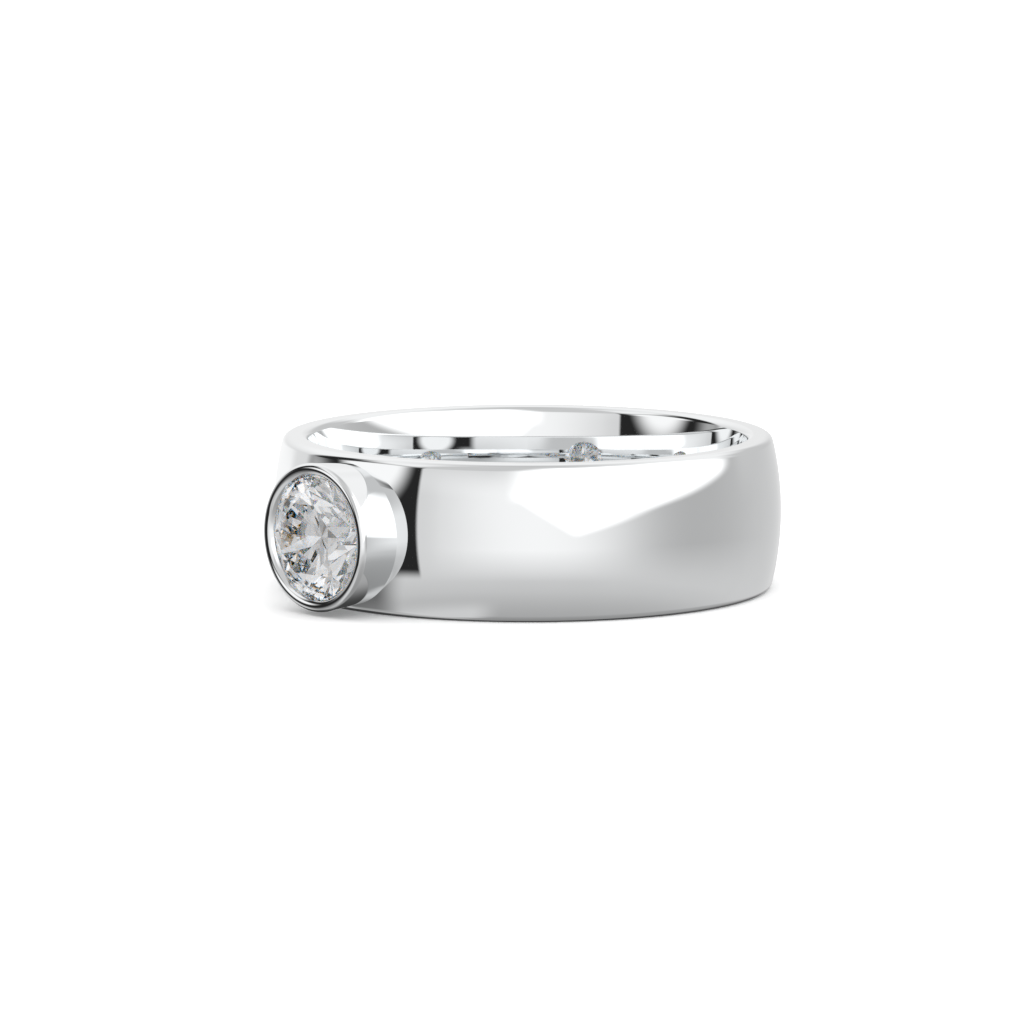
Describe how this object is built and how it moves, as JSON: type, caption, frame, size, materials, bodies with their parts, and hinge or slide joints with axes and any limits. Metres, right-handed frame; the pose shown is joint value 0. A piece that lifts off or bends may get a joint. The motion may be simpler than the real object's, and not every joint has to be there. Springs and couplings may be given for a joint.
{
  "type": "bezel set ring",
  "caption": "Wide domed polished ring with a round brilliant in a tall round bezel that stands on the outside of the band.",
  "frame": {"origin": "middle of the finger hole, halfway across the band's width", "axes": "+Z along the finger hole, up when the ring lies on its side; -Y towards the bezel and the stone; +X to the right as seen from the bezel's side"},
  "size_m": [0.0198, 0.0217, 0.006],
  "materials": {
    "metal": "mirror-polished white metal, with faint fine scratches",
    "stone": "faceted and polished, colourless, with a fine ground girdle"
  },
  "bodies": {
    "root": {"band_with_bezel": "metal", "stone": "stone"}
  },
  "joints": []
}
